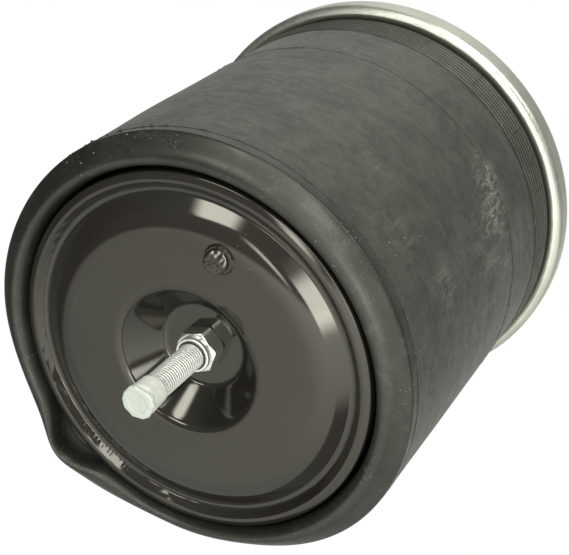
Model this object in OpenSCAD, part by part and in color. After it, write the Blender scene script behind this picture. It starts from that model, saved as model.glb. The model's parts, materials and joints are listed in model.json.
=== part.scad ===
/* [Packed height] */
// Height from the mounting face down to the rim of the piston, as packed
packed_height = 284; // [270:1:300]
// Height of the middle of the rolled fold above the rim of the piston
fold_above_rim = 6; // [4:0.5:10]

/* [Rubber bellows] */
// Width of the fold, from the inner face of the inner wall to the outer face of the sleeve
fold_w = 19.7; // [17:0.1:23]
// Thickness of the rubber and cord wall
wall_t = 4.5; // [3.5:0.1:5.5]
// Depth below the mounting face where the ribbed grip band ends
grip_end = 58.3; // [52:0.1:66]
// Number of fine ribs round the grip band
grip_ribs = 7; // [4:1:8]
// Height of one fine rib
grip_rib_h = 0.6; // [0.3:0.1:1]
// Depth below the mounting face of the upper mould line
mould_line_upper = 106; // [90:1:130]
// Height of the lower mould line above the middle of the fold
mould_line_lower = 7; // [4:0.5:20]
// How far a mould line stands out of the rubber
mould_line_h = 0.5; // [0.2:0.1:0.8]

/* [Beads] */
// Radial width of the upper bead
upper_bead_w = 17; // [15:0.5:19]
// Radius of the wire hoop inside each bead
bead_wire_r = 3.5; // [2.5:0.1:4.5]
// Radial width of the lower bead
lower_bead_w = 16; // [14:0.5:18]

/* [Bead plate] */
// How far the crimped edge stands out from the sleeve
crimp_reach = 8.6; // [7.5:0.1:11]
// Sheet thickness of the bead plate
plate_t = 3; // [2.5:0.1:3.5]
// Height of the crimped edge
crimp_h = 28; // [26:0.5:31]
// Bend radius at the top of the crimped edge
crimp_top_bend = 11; // [8:0.5:12]
// Bend radius at the bottom of the crimped edge
crimp_low_bend = 7; // [5:0.5:8]
// Depth of the stiffening groove that backs the bead
groove_depth = 6; // [4:0.5:8]
// Width of the floor of the stiffening groove
groove_w = 8; // [6:0.5:12]

/* [Plate studs] */
// Distance between the two studs
stud_spacing = 157.5; // [140:0.5:170]
// Thread diameter of the plate studs
plate_stud_d = 12; // [10:1:14]
// Diameter of the serrated shank that is pressed into the plate
plate_stud_press_d = 13; // [12.5:0.1:15]
// Height of the plate studs above the mounting face
plate_stud_h = 36; // [25:1:50]
// Diameter of the stud's head under the plate
plate_stud_head_d = 24; // [20:1:28]
// Thickness of the stud's head
plate_stud_head_h = 4; // [3:0.5:6]

/* [Air inlet] */
// Distance of the inlet from the middle of the plate
inlet_offset = 44.5; // [35:0.5:60]
// Outside thread diameter of the inlet boss
inlet_d = 22; // [20:1:26]
// Height of the inlet boss above the mounting face
inlet_h = 30; // [20:1:40]
// Bore of the inlet, at the crest of its inside thread
inlet_bore_d = 10.4; // [8:0.1:12]
// Depth of the threaded inlet bore
inlet_bore_depth = 16; // [12:1:18]
// Bore of the air passage below the thread
inlet_passage_d = 7; // [4:0.5:7.5]
// Across-flats size of the inlet's hexagon under the plate
inlet_hex = 32; // [28:1:36]
// Thickness of the inlet's hexagon
inlet_hex_h = 5; // [4:0.5:8]

/* [Piston] */
// Diameter over the rim of the piston
piston_d = 225; // [221:0.5:229]
// Sheet thickness of the skirt
skirt_t = 2.5; // [2:0.1:3]
// Height of the deck above the rim
deck_h = 124; // [118:1:130]
// Bend radius from the skirt to the deck
shoulder_bend = 20; // [15:0.5:22]
// Width of the deck, from the skirt to the foot of the bead seat
deck_w = 34.6; // [31:0.1:40]
// Height of the bead seat above the deck
seat_h = 26; // [24:0.5:30]
// How far the bead seat leans inward over its height
seat_lean = 3.8; // [2:0.2:5]
// Gap between the rim and the rubber that hangs round it
rim_to_rubber = 2.5; // [1.5:0.1:3.5]

/* [Piston base] */
// Sheet thickness of the base
base_t = 2; // [1.6:0.1:2.4]
// Radial width of the hemmed rim
rim_w = 6; // [5.5:0.1:7]
// Height of the hem that grips the skirt
hem_h = 12; // [8:0.5:18]
// Inside bend radius of the rim
rim_bend = 0.6; // [0.3:0.1:0.9]
// Bend radius from the contact face to the slope
contact_bend = 9; // [5:0.5:10]
// Depth of the channel behind the rim
channel_depth = 4.6; // [3:0.2:6]
// Width of the channel floor
channel_w = 4.7; // [3.5:0.1:6]
// Width of the sloping wall between the rim and the channel
rim_slope_w = 1.8; // [1.5:0.1:2.5]
// Width of the rounded slope from the channel to the contact face
slope_w = 14; // [11:0.5:18]
// How far the contact face stands below the rim
contact_drop = 4; // [2:0.5:6]
// Radius of the mouth of the middle recess
recess_mouth_r = 44.5; // [40:0.5:48]
// Radius of the floor of the middle recess
recess_floor_r = 26.5; // [24:0.5:30]
// Depth of the recess floor above the rim
recess_depth = 18; // [15:0.5:22]

/* [Centre stud and nuts] */
// Thread diameter of the centre stud
stud_d = 16; // [14:1:18]
// Pitch diameter, at which the thread meets what grips it
stud_pitch_d = 14.7; // [12.5:0.1:14.8]
// How far the centre stud reaches below the rim
stud_reach = 52; // [45:1:60]
// Across-flats size of the nuts
nut_af = 24; // [22:1:27]
// Height of the lock nut with its collar
lock_nut_h = 15; // [13:0.5:18]
// Height of the lock nut's round collar
lock_collar_h = 4; // [3:0.5:5]
// Height of the upper nut
top_nut_h = 13; // [11:0.5:15]
// Wall of the tube that spaces deck and base apart
tube_wall = 5; // [3:0.5:7]

/* [Clamp plate and bump stop] */
// Thickness of the plate that clamps the lower bead
clamp_t = 3.5; // [3:0.1:4.5]
// Width of the clamp plate's sloping lip
clamp_lip_w = 9; // [7:0.5:10]
// Drop of the clamp plate's lip
clamp_drop = 11; // [8:0.5:13]
// Radial width of the seal round the stud
seal_w = 4; // [3:0.5:5]
// Thickness of the seal round the stud
seal_h = 2; // [1.5:0.1:2.5]
// Thickness of the plate moulded into the bump stop
stop_plate_t = 4; // [3:0.5:6]
// Radius of the plate moulded into the bump stop
stop_plate_r = 33; // [30:0.5:36]
// Height of the rubber bump stop
stop_h = 42; // [32:1:50]
// Radius at the foot of the bump stop
stop_foot_r = 38; // [37:0.5:42]
// Radius of the well for the socket
stop_well_r = 19; // [17.5:0.5:21]
// Bend radius round the waist of the bump stop
stop_bend = 8; // [4:0.5:9]
// How much narrower the bump stop is at its top than at its foot
stop_taper = 9; // [7:0.5:12]

/* [Stud cap and locating pin] */
// Depth that the protective cap covers
cap_cover = 25; // [18:1:30]
// Wall of the protective cap
cap_wall = 1.5; // [1:0.1:1.9]
// Thickness of the cap's closed end
cap_end_t = 3; // [2:0.5:4]
// Diameter over the cap's end flange
cap_flange_d = 21; // [20:0.5:24]
// Distance of the locating pin from the outer edge of the contact face
pin_inset = 13; // [12.5:0.5:20]
// Diameter of the locating pin
pin_d = 14; // [10:0.5:15]
// Height of the locating pin above the contact face
pin_h = 6.5; // [5:0.5:12]
// Chamfer at the pin's tip
pin_chamfer = 1; // [0.5:0.1:2]
// Diameter of the pin's collar, which fills the hole in the base
pin_collar_d = 18.5; // [17:0.5:19]
// Height of the pin's collar
pin_collar_h = 1.6; // [1:0.1:3]
// How much the collar narrows over its height
pin_collar_slope = 1; // [0.3:0.1:1.2]
// How far the pin's riveted head reaches past the collar, inside the base
pin_head_reach = 1.1; // [0.8:0.1:1.2]

/* [Hidden] */

// Fits and clearances
seat_gap = 0.05;        // between pieces that are pressed or screwed together
rubber_gap = 0.3;       // between rubber and the metal round it
bolt_hole_gap = 0.3;    // round a stud that passes through a hole
cap_gap = 0.1;          // between the cap and the thread
pin_gap = 0.05;         // round the locating pin
bead_overlap = 2;       // how far a wall runs into the bead that it grows out of
end_chamfer = 1.5;      // at the ends of threads
edge_break = 0.8;       // at the edges of turned heads
line_foot = 0.6;        // half the extra width at the foot of a mould line

// Radii and heights shared by more than one piece
smooth = 96;
bend_steps = 8;
piston_r = piston_d / 2;
wall_in_r = piston_r + rim_to_rubber;
sleeve_r = wall_in_r + fold_w;
plate_r = sleeve_r + crimp_reach;
rim_z = -packed_height;
fold_z = rim_z + fold_above_rim;
fold_r = wall_in_r + fold_w / 2;
skirt_r = piston_r - base_t - seat_gap;
deck_z = rim_z + deck_h;
roof_z = deck_z + seat_h;
seat_r = skirt_r - deck_w;
lower_bead_r = seat_r + rubber_gap + lower_bead_w;
clamp_r = lower_bead_r - seat_gap;
shoulder_r = min(shoulder_bend, skirt_r - lower_bead_r + bead_overlap - rubber_gap);
channel_r = piston_r - rim_w - rim_slope_w - channel_w;
contact_r = channel_r - slope_w;
contact_z = rim_z - contact_drop;
pin_x = contact_r - pin_inset;
recess_z = rim_z + recess_depth;
stud_hole_r = stud_d / 2 + bolt_hole_gap;
grip_r = stud_pitch_d / 2;
lock_face_z = recess_z - lock_nut_h;
clamp_z = roof_z + clamp_t;
stop_z = clamp_z + stop_plate_t;
stud_end_z = rim_z - stud_reach;
upper_bead_r = plate_r - plate_t - rubber_gap;
upper_bead_in_r = upper_bead_r - upper_bead_w;
seal_r = stud_hole_r + seal_w;
rubber = [0.17, 0.17, 0.16];
zinc = [0.77, 0.79, 0.77];
black_paint = [0.13, 0.12, 0.11];

// Paths with rounded bends, and sheets of even thickness along them
function unit(v) = v / norm(v);
function turned(v) = [-v[1], v[0]];
function angle_of(v) = atan2(v[1], v[0]);
function shortest(a) = a > 180 ? a - 360 : a < -180 ? a + 360 : a;
function bend(before, at, after, r) =
    let (u = unit(before - at), w = unit(after - at), half = acos(u * w) / 2)
    let (centre = at + unit(u + w) * r / sin(half))
    let (first = angle_of(at + u * r / tan(half) - centre))
    let (swing = shortest(angle_of(at + w * r / tan(half) - centre) - first))
    [for (i = [0:bend_steps]) let (a = first + swing * i / bend_steps) centre + r * [cos(a), sin(a)]];
function flat(p) = [p[0], p[1]];
function path(corners) = [for (i = [0:len(corners) - 1])
    let (c = corners[i], last = len(corners) - 1)
    each (i == 0 || i == last || len(c) < 3 ? [flat(c)]
        : bend(flat(corners[i - 1]), flat(c), flat(corners[i + 1]), c[2]))];
function side(points, i) = turned(unit(points[i + 1] - points[i]));
function moved(points, t) = [for (i = [0:len(points) - 1])
    let (last = len(points) - 1)
    let (a = side(points, max(i - 1, 0)), b = side(points, min(i, last - 1)))
    points[i] + t * (a + b) / (1 + a * b)];
function reversed(points) = [for (i = [len(points) - 1:-1:0]) points[i]];
function sheet(points, t) = concat(points, reversed(moved(points, t)));
clamp_top = path([[stud_hole_r, clamp_z], [clamp_r - clamp_lip_w, clamp_z, clamp_t + 1.5],
    [clamp_r, clamp_z - clamp_drop]]);
module revolve(points) { rotate_extrude($fn = smooth) polygon(points); }
module ring(r, section, z) {
    translate([0, 0, z]) rotate_extrude($fn = smooth) translate([r, 0]) circle(section, $fn = 48);
}
module rod(r, low, high) { translate([0, 0, low]) cylinder(r = r, h = high - low, $fn = smooth); }
module hexagon(af, low, high) {
    translate([0, 0, low]) cylinder(r = af / 2 / cos(30), h = high - low, $fn = 6);
}

// A hexagon whose corners are cut back by a cone at its upper or lower end
module hex_nut(af, low, high) {
    corner_r = af / 2 / cos(30);
    cut = 1.6;
    intersection() {
        hexagon(af, low, high);
        revolve([[0, low], [af / 2 - 0.2, low], [corner_r + 0.2, low + cut], [corner_r + 0.2, high - cut],
            [af / 2 - 0.2, high], [0, high]]);
    }
}

// Bead plate: one pressed sheet, flat in the middle, with a groove that backs the bead from inside
// and an edge that is rolled down round the bead and in against the neck
module bead_plate() {
    groove_out = upper_bead_in_r - rubber_gap - plate_t - 1;
    groove_in = groove_out - groove_w;
    edge_bend = plate_t + 0.5;
    outside = path([[0, 0], [groove_in - 3, 0, edge_bend], [groove_in, -groove_depth, 2],
        [groove_out, -groove_depth, 2], [groove_out + 2, 0, edge_bend], [plate_r, 0, crimp_top_bend],
        [plate_r, -crimp_h, crimp_low_bend], [sleeve_r + rubber_gap, -crimp_h + 1.5]]);
    color(zinc) difference() {
        revolve(sheet(outside, -plate_t));
        for (y = [-1, 1]) translate([0, y * stud_spacing / 2, 0])
            rod(plate_stud_press_d / 2 + seat_gap, -plate_t - 1, 1);
        translate([inlet_offset, 0, 0]) rod(inlet_d / 2 + seat_gap, -plate_t - 1, 1);
    }
}

// Two studs pressed through the plate, each with a round head underneath
module plate_studs() {
    head_r = plate_stud_head_d / 2;
    press_r = plate_stud_press_d / 2;
    thread_r = plate_stud_d / 2;
    head_z = -plate_t - plate_stud_head_h;
    color(zinc) for (y = [-1, 1]) translate([0, y * stud_spacing / 2, 0])
        revolve([[0, head_z], [head_r - edge_break, head_z], [head_r, head_z + edge_break],
            [head_r, -plate_t], [press_r, -plate_t], [press_r, 0], [thread_r, 0],
            [thread_r, plate_stud_h - end_chamfer], [thread_r - end_chamfer, plate_stud_h],
            [0, plate_stud_h]]);
}

// Threaded boss with a stepped bore that lets the air in
module air_inlet() {
    foot = -plate_t - inlet_hex_h;
    color(zinc) translate([inlet_offset, 0, 0]) difference() {
        union() {
            hexagon(inlet_hex, foot, -plate_t);
            revolve([[0, -plate_t - 1], [inlet_d / 2, -plate_t - 1], [inlet_d / 2, inlet_h - end_chamfer],
                [inlet_d / 2 - end_chamfer, inlet_h], [0, inlet_h]]);
        }
        rod(inlet_bore_d / 2, inlet_h - inlet_bore_depth, inlet_h + 1);
        rod(inlet_passage_d / 2, foot - 1, inlet_h - inlet_bore_depth + 1);
    }
}

// Wire hoops that keep the beads round
upper_wire = [upper_bead_r - upper_bead_w / 2, -plate_t - rubber_gap - bead_wire_r - 5];
lower_wire = [seat_r - seat_lean / 2 + rubber_gap + lower_bead_w / 2, deck_z + seat_h * 0.42];
module upper_bead_wire() { color("dimgray") ring(upper_wire[0], bead_wire_r, upper_wire[1]); }
module lower_bead_wire() { color("dimgray") ring(lower_wire[0], bead_wire_r, lower_wire[1]); }

// Neck of the bellows: the bead held in the crimp, and the band with fine ribs below it
module bellows_neck() {
    top = -plate_t - rubber_gap;
    low = -crimp_h + plate_t + 2;
    rib_top = -crimp_h - 1.5;
    pitch = (grip_end - 1 + rib_top) / grip_ribs;
    ribs = [for (i = [0:grip_ribs - 1]) let (z = rib_top - i * pitch) each
        [[sleeve_r, z - pitch * 0.3], [sleeve_r + grip_rib_h, z - pitch * 0.45],
        [sleeve_r + grip_rib_h, z - pitch * 0.65], [sleeve_r, z - pitch * 0.8]]];
    round_top = crimp_top_bend - plate_t;
    round_low = crimp_low_bend - plate_t;
    taper = upper_bead_w / 3;
    outline = concat([[upper_bead_in_r + taper / 2, top], [upper_bead_r - round_top, top],
        [upper_bead_r - round_top * 0.3, top - round_top * 0.3], [upper_bead_r, top - round_top],
        [upper_bead_r, low + round_low], [upper_bead_r - round_low * 0.3, low + round_low * 0.4],
        [sleeve_r - rubber_gap, low], [sleeve_r - rubber_gap, -crimp_h - 0.5], [sleeve_r, rib_top]],
        ribs, [[sleeve_r, -grip_end], [sleeve_r - wall_t, -grip_end], [sleeve_r - wall_t, low - taper],
        [upper_bead_in_r, low + taper], [upper_bead_in_r, top - taper]]);
    color(rubber) difference() {
        revolve(outline);
        ring(upper_wire[0], bead_wire_r + seat_gap, upper_wire[1]);
    }
}

// Upper part of the sleeve, down to the upper mould line
module bellows_shoulder() {
    low = -mould_line_upper;
    line_r = sleeve_r + mould_line_h;
    color(rubber) revolve([[sleeve_r - wall_t, -grip_end], [sleeve_r, -grip_end],
        [sleeve_r, low + 2 * line_foot], [line_r, low + line_foot], [line_r, low], [sleeve_r - wall_t, low]]);
}

// Lower part of the sleeve, which rolls over into the fold
module bellows_sleeve() {
    line_z = fold_z + mould_line_lower;
    color(rubber) revolve([[sleeve_r - wall_t, -mould_line_upper], [sleeve_r, -mould_line_upper],
        [sleeve_r, line_z + 1.5 * line_foot], [sleeve_r + mould_line_h, line_z + line_foot / 2],
        [sleeve_r + mould_line_h, line_z - line_foot / 2], [sleeve_r, line_z - 1.5 * line_foot],
        [sleeve_r, fold_z], [sleeve_r - wall_t, fold_z]]);
}

// Rolled fold: half a ring of round section that hangs round the rim of the piston
module bellows_fold() {
    color(rubber) translate([0, 0, fold_z]) rotate_extrude($fn = smooth) translate([fold_r, 0])
        difference() {
            circle(fold_w / 2, $fn = 64);
            circle(fold_w / 2 - wall_t, $fn = 64);
            translate([-fold_w, 0]) square(2 * fold_w);
        }
}

// Inner wall: runs up the skirt and over its shoulder to the lower bead on its seat
module bellows_inner_wall() {
    lift = wall_in_r - skirt_r;
    bead_low = deck_z + rubber_gap;
    bead_top = roof_z - rubber_gap;
    foot_r = seat_r + rubber_gap;
    bead_out = lower_bead_r;
    under = path([[wall_in_r, fold_z], [wall_in_r, deck_z + lift, shoulder_r + lift],
        [bead_out - bead_overlap, deck_z + lift]]);
    pressed = [for (p = reversed(moved(clamp_top, -clamp_t - rubber_gap))) if (p[0] > stud_hole_r) p];
    color(rubber) difference() {
        union() {
            revolve(sheet(under, -wall_t));
            revolve(concat([[foot_r + 4, bead_low], [bead_out - 1.5, bead_low], [bead_out, bead_low + 1.5],
                [bead_out, pressed[0][1] - 2.5]], pressed,
                [[foot_r - seat_lean + 4, bead_top], [foot_r - seat_lean * 0.8, bead_top - seat_h * 0.2],
                [foot_r - seat_lean * 0.2, deck_z + seat_h * 0.2]]));
        }
        ring(lower_wire[0], bead_wire_r + seat_gap, lower_wire[1]);
    }
}

// Skirt of the piston: one deep-drawn cup with a bead seat on its deck
module piston_skirt() {
    foot_z = rim_z + base_t + rim_bend + seat_gap;
    outside = path([[skirt_r, foot_z], [skirt_r, deck_z, shoulder_r], [seat_r, deck_z, 3],
        [seat_r - seat_lean, roof_z, 6], [stud_hole_r, roof_z]]);
    color(black_paint) revolve(sheet(outside, skirt_t));
}

// Base of the piston: a pressed dish whose edge is hemmed round the foot of the skirt
module piston_base() {
    channel_z = rim_z + channel_depth;
    rim_in = piston_r - rim_w;
    hem_bend = base_t + rim_bend;
    under = path([[stud_hole_r, recess_z], [recess_floor_r, recess_z, 4], [recess_mouth_r, contact_z, 6],
        [contact_r, contact_z, contact_bend], [channel_r, channel_z, 3.5],
        [rim_in - rim_slope_w, channel_z, 1], [rim_in, rim_z, hem_bend], [piston_r, rim_z, hem_bend],
        [piston_r, rim_z + hem_h]]);
    color(black_paint) difference() {
        revolve(sheet(under, base_t));
        translate([pin_x, 0, 0]) rod(pin_collar_d / 2 + pin_gap, contact_z - 1, contact_z + base_t + 1);
    }
}

// Tube that carries the clamping load between the deck and the base
module support_tube() {
    low = recess_z + base_t;
    high = roof_z - skirt_t;
    color("gray") difference() {
        rod(stud_hole_r + tube_wall, low, high);
        rod(stud_hole_r, low - 1, high + 1);
    }
}

// Stud that runs through the whole piston and fastens it to the vehicle. Free thread has its crest
// diameter, and where a nut or the cap grips it, the two meet at the pitch diameter
module centre_stud() {
    nut_top = stop_z + top_nut_h;
    top = nut_top + 3;
    crest = stud_d / 2;
    free_low = stud_end_z + cap_cover + cap_gap;
    free_high = lock_face_z - seat_gap;
    shank_low = recess_z + base_t;
    color(zinc) revolve([[0, stud_end_z], [grip_r - end_chamfer, stud_end_z],
        [grip_r, stud_end_z + end_chamfer], [grip_r, free_low], [crest, free_low], [crest, free_high],
        [grip_r, free_high], [grip_r, shank_low], [crest, shank_low], [crest, stop_z], [grip_r, stop_z],
        [grip_r, nut_top], [crest, nut_top], [crest, top - end_chamfer], [crest - end_chamfer, top],
        [0, top]]);
}

// Lock nut with a round collar that holds a nylon ring
collar_r = nut_af / 2 - 1.2;
insert_r = collar_r - 1.4;
module lock_nut() {
    color(zinc) difference() {
        union() {
            hex_nut(nut_af, lock_face_z + lock_collar_h, recess_z);
            revolve([[0, lock_face_z + lock_collar_h + 1], [0, lock_face_z], [collar_r - 1.6, lock_face_z],
                [collar_r - 0.5, lock_face_z + 0.5], [collar_r, lock_face_z + 1.6],
                [collar_r, lock_face_z + lock_collar_h + 1]]);
        }
        rod(grip_r + seat_gap, lock_face_z - 1, recess_z + 1);
        rod(insert_r, lock_face_z + 0.8, lock_face_z + lock_collar_h);
    }
}
module lock_nut_insert() {
    low = lock_face_z + 0.8 + seat_gap;
    high = lock_face_z + lock_collar_h - seat_gap;
    color("white") difference() {
        rod(insert_r - seat_gap, low, high);
        rod(grip_r + seat_gap, low - 1, high + 1);
    }
}

// Pin that keeps the piston from turning on its bracket: its collar fills the hole, and a riveted head
// holds it from inside
module locating_pin() {
    inner_z = contact_z + base_t;
    tip_z = contact_z - pin_h;
    collar_z = contact_z - pin_collar_h;
    r = pin_d / 2;
    foot_r = pin_collar_d / 2;
    head_r = foot_r + pin_head_reach;
    color(black_paint) translate([pin_x, 0, 0]) revolve([[0, tip_z], [r - pin_chamfer, tip_z],
        [r, tip_z + pin_chamfer], [r, collar_z], [foot_r - pin_collar_slope, collar_z], [foot_r, contact_z],
        [foot_r, inner_z], [head_r, inner_z], [head_r, inner_z + 1.5], [r, inner_z + 3], [0, inner_z + 3]]);
}

// Dished plate that clamps the lower bead down on its seat, with room for the seal under its middle
module clamp_plate() {
    color(zinc) difference() {
        revolve(sheet(clamp_top, -clamp_t));
        rod(seal_r + seat_gap, roof_z - 1, roof_z + seal_h + seat_gap);
    }
}

// Flat seal round the stud, squeezed between the roof of the skirt and the clamp plate
module seal_ring() {
    color("black") difference() {
        rod(seal_r, roof_z, roof_z + seal_h);
        rod(stud_hole_r, roof_z - 1, roof_z + seal_h + 1);
    }
}

// Upper nut, its moulded plate and the rubber bump stop round them
module top_nut() {
    color(zinc) difference() {
        hex_nut(nut_af, stop_z, stop_z + top_nut_h);
        rod(grip_r + seat_gap, stop_z - 1, stop_z + top_nut_h + 1);
    }
}
module bump_stop_plate() {
    color(zinc) difference() {
        rod(stop_plate_r, clamp_z, stop_z);
        rod(stud_hole_r, clamp_z - 1, stop_z + 1);
    }
}
module bump_stop() {
    top = clamp_z + stop_h;
    waist_z = clamp_z + stop_h * 0.42;
    color("black") revolve(concat([[stop_plate_r + seat_gap, clamp_z], [stop_foot_r, clamp_z]],
        path([[stop_foot_r, clamp_z], [stop_foot_r, clamp_z + 5, 3], [stop_foot_r - 5, waist_z, stop_bend],
            [stop_foot_r - 2, clamp_z + stop_h * 0.76, stop_bend],
            [stop_foot_r - stop_taper, top, stop_bend - 2], [stop_well_r + 1, top, 1],
            [stop_well_r, top - 3]]),
        [[stop_well_r, stop_z + seat_gap], [stop_plate_r + seat_gap, stop_z + seat_gap]]));
}

// Protective cap on the end of the centre stud
module stud_cap() {
    r = grip_r + cap_gap;
    bottom = stud_end_z - cap_gap - cap_end_t;
    flange_r = cap_flange_d / 2;
    color([0.85, 0.88, 0.84]) revolve([[0, stud_end_z - cap_gap], [r, stud_end_z - cap_gap],
        [r, stud_end_z + cap_cover], [r + cap_wall, stud_end_z + cap_cover],
        [r + cap_wall, stud_end_z + 1], [flange_r, stud_end_z - 0.5], [flange_r, bottom + 0.5],
        [flange_r - 0.5, bottom], [0, bottom]]);
}

bead_plate();
plate_studs();
air_inlet();
upper_bead_wire();
bellows_neck();
bellows_shoulder();
bellows_sleeve();
bellows_fold();
bellows_inner_wall();
lower_bead_wire();
piston_skirt();
piston_base();
support_tube();
centre_stud();
lock_nut();
lock_nut_insert();
locating_pin();
clamp_plate();
seal_ring();
top_nut();
bump_stop_plate();
bump_stop();
stud_cap();
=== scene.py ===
import json
import bmesh
import bpy
import numpy as np
from mathutils import Matrix, Vector


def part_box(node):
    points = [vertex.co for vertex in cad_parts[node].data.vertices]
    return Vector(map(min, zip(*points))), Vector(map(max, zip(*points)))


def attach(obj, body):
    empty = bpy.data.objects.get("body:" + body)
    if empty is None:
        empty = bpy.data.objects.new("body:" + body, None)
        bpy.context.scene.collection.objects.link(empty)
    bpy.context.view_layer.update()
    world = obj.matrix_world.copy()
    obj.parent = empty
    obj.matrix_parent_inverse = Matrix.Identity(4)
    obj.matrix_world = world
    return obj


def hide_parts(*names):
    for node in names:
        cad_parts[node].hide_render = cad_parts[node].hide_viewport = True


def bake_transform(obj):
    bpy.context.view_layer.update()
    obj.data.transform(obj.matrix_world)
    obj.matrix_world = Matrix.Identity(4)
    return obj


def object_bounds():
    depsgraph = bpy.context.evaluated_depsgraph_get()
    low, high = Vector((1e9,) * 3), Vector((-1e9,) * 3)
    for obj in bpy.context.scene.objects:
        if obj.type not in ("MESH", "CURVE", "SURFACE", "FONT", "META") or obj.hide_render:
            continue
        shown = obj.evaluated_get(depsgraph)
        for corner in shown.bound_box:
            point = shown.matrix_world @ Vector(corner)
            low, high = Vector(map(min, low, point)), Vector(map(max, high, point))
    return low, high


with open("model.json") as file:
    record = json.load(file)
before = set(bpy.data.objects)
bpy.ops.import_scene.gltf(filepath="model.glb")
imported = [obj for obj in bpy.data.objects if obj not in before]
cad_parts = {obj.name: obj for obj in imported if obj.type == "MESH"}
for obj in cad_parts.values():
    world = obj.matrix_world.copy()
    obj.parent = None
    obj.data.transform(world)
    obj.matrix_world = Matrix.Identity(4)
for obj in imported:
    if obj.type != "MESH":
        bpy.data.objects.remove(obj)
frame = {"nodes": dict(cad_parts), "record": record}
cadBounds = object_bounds()
nodes = frame["nodes"]
mm = 0.001
tau = 2 * np.pi
scene = bpy.context.scene
print("frame loaded:", len(nodes), "nodes")

# Places that more than one piece takes from the frame
foldLow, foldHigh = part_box("bellows_fold")
wallOutR = foldHigh.x
foldZ = foldHigh.z
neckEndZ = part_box("bellows_neck")[0].z
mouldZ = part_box("bellows_shoulder")[0].z
studLow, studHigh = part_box("centre_stud")


def wrapped(angle):
    # the same angle, within half a turn of 0
    return (angle + np.pi) % tau - np.pi


def bell(x, width):
    # 1 at the middle, falling off as the normal curve does
    return np.exp(-0.5 * (x / width) ** 2)


def bellAt(a, at, width):
    # the same round the axis, its middle and width in degrees
    return bell(wrapped(a - np.radians(at)), np.radians(width))


def ease(x, low, high):
    # 0 below low, 1 above high, a smooth step between
    t = np.clip((x - low) / (high - low), 0, 1)
    return t * t * (3 - 2 * t)


def ripple(a, s, seed, waves, fewest, most):
    # a sum of waves that close up round the axis: each has its own slope along s and a whole number of crests, from
    # fewest up to most, and shorter ones are lower; the last four numbers stand in a piece's waves
    dice = np.random.default_rng(seed)
    counts = dice.integers(fewest, most, waves)
    slopes = dice.normal(0, 1, waves) * counts
    phases = dice.uniform(0, tau, waves)
    heights = 1 / np.sqrt(counts)
    total = sum(h * np.cos(n * a + m * s + p) for h, n, m, p in zip(heights, counts, slopes, phases))
    return total / np.sqrt((heights ** 2).sum() / 2) / 2


def roundedPath(corners, steps=8):
    # straight runs joined by arcs; a corner is (radius, height) or (radius, height, bend radius)
    points = []
    for i, corner in enumerate(corners):
        here = np.array(corner[:2], float)
        if len(corner) < 3:
            points.append(here)
            continue
        back, ahead = (np.array(corners[k % len(corners)][:2], float) - here for k in (i - 1, i + 1))
        back, ahead = back / np.linalg.norm(back), ahead / np.linalg.norm(ahead)
        half = np.arccos(np.clip(back @ ahead, -1, 1)) / 2
        middle = (back + ahead) / np.linalg.norm(back + ahead)
        centre = here + middle * corner[2] / np.sin(half)
        start, stop = (here + d * corner[2] / np.tan(half) - centre for d in (back, ahead))
        first = np.arctan2(start[1], start[0])
        swing = wrapped(np.arctan2(stop[1], stop[0]) - first)
        angles = first + swing * np.linspace(0, 1, steps + 1)
        points.extend(centre + corner[2] * np.stack([np.cos(angles), np.sin(angles)], 1))
    return np.array(points)


def denser(path, step):
    # the same path, with no run longer than step
    rows = [path[:1]]
    for a, b in zip(path[:-1], path[1:]):
        count = max(1, int(np.ceil(np.linalg.norm(b - a) / step)))
        rows.append(a + (b - a) * np.linspace(0, 1, count + 1)[1:, None])
    return np.concatenate(rows)


def offsetPath(path, distance):
    # the path moved to its left by distance, mitred at each point
    runs = np.diff(path, axis=0)
    sides = np.stack([-runs[:, 1], runs[:, 0]], 1) / np.linalg.norm(runs, axis=1)[:, None]
    before, after = np.vstack([sides[:1], sides]), np.vstack([sides, sides[-1:]])
    return path + distance * (before + after) / (1 + (before * after).sum(1))[:, None]


def evenAngles(columns):
    # angles of equal columns round the turn
    return np.arange(columns) * tau / columns


def columnsOf(path):
    # a path's radii and heights, each standing as one column
    return path[:, 0, None], path[:, 1, None]


def turned(r, z, a):
    # points at radius r, height z and angle a, each an array that fits the others
    r, z, a = np.broadcast_arrays(r, z, a)
    return np.stack([r * np.cos(a), r * np.sin(a), z], -1)


def around(profile, columns):
    # surface of revolution: radius turned through each angle, height kept
    return turned(*columnsOf(np.array(profile)), evenAngles(columns))


def ringOf(r, z, columns):
    # one level circle of points
    return around([[r, z]], columns)


def cutBack(grid, limit):
    # points that lie further from the axis than limit are brought in to it
    distance = np.maximum(np.hypot(grid[..., 0], grid[..., 1]), 1e-9)
    grid[..., :2] *= np.minimum(1, limit / distance)[..., None]
    return grid


def columnAngles(count, marks, spread=0.45, extra=5):
    # even angles round the turn, with a few more close together at each mark, in degrees
    near = np.radians(np.asarray(marks)[:, None] + np.linspace(-spread, spread, extra)).ravel()
    return np.unique(np.round(np.concatenate([evenAngles(count), near % tau]), 6))


def quads(rows, columns, closeRows):
    # every grid cell's four corners, with the cells that close the grid round the axis
    i = np.arange(rows if closeRows else rows - 1)[:, None]
    j = np.arange(columns)[None]
    i2, j2 = (i + 1) % rows, (j + 1) % columns
    corners = [i * columns + j, i * columns + j2, i2 * columns + j2, i2 * columns + j]
    return np.stack(np.broadcast_arrays(*corners), -1).reshape(-1, 4)


def added(name, data):
    # a new object that stands in the scene
    made = bpy.data.objects.new(name, data)
    scene.collection.objects.link(made)
    return made


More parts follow.
